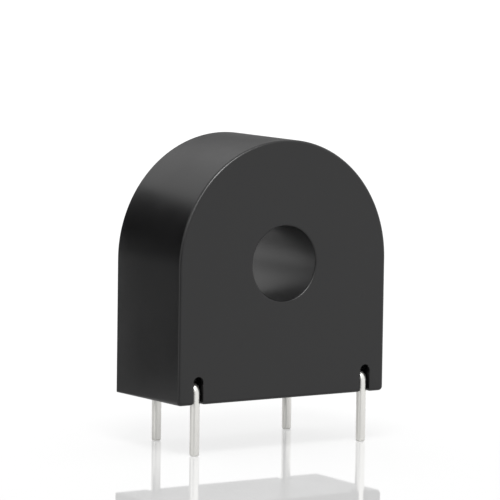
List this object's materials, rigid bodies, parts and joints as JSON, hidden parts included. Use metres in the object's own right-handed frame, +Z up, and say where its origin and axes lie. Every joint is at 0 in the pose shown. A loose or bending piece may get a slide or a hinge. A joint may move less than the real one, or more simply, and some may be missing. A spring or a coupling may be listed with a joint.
{
  "type": "current transformer",
  "caption": "Potted ring-core current transformer in an arched moulded case with a through bore for the primary conductor and solder pins for a circuit board.",
  "frame": {"origin": "middle of the pin tips' plane, below the middle of the case", "axes": "+Z up from the pin tips to the top of the arch, +Y along the bore from the front face to the potted back, +X to the right seen from the front"},
  "size_m": [0.0256, 0.012, 0.0321],
  "materials": {
    "case_plastic": "fine satin moulded, black",
    "resin": "self-levelled black epoxy",
    "tinned_wire": "bright tin over steel wire",
    "core_strip": "annealed strip, dull grey",
    "box_plastic": "natural moulded plastic",
    "cushion_foam": "soft foam",
    "enamelled_copper": "clear enamel over copper",
    "polyester_tape": "glossy yellow film",
    "sleeve_plastic": "translucent white tube",
    "solder": "bright solder"
  },
  "bodies": {
    "root": {"case": "case_plastic", "potting": "resin", "pin_front_left": "tinned_wire", "pin_front_right": "tinned_wire", "pin_rear_left": "tinned_wire", "pin_rear_right": "tinned_wire", "core": "core_strip", "core_box_cup": "box_plastic", "core_box_lid": "box_plastic", "core_cushion": "cushion_foam", "secondary_winding": "enamelled_copper", "outer_tape": "polyester_tape", "lead_start": "enamelled_copper", "lead_finish": "enamelled_copper", "lead_sleeve_start": "sleeve_plastic", "lead_sleeve_finish": "sleeve_plastic", "solder_joint_left": "solder", "solder_joint_right": "solder"}
  },
  "joints": []
}
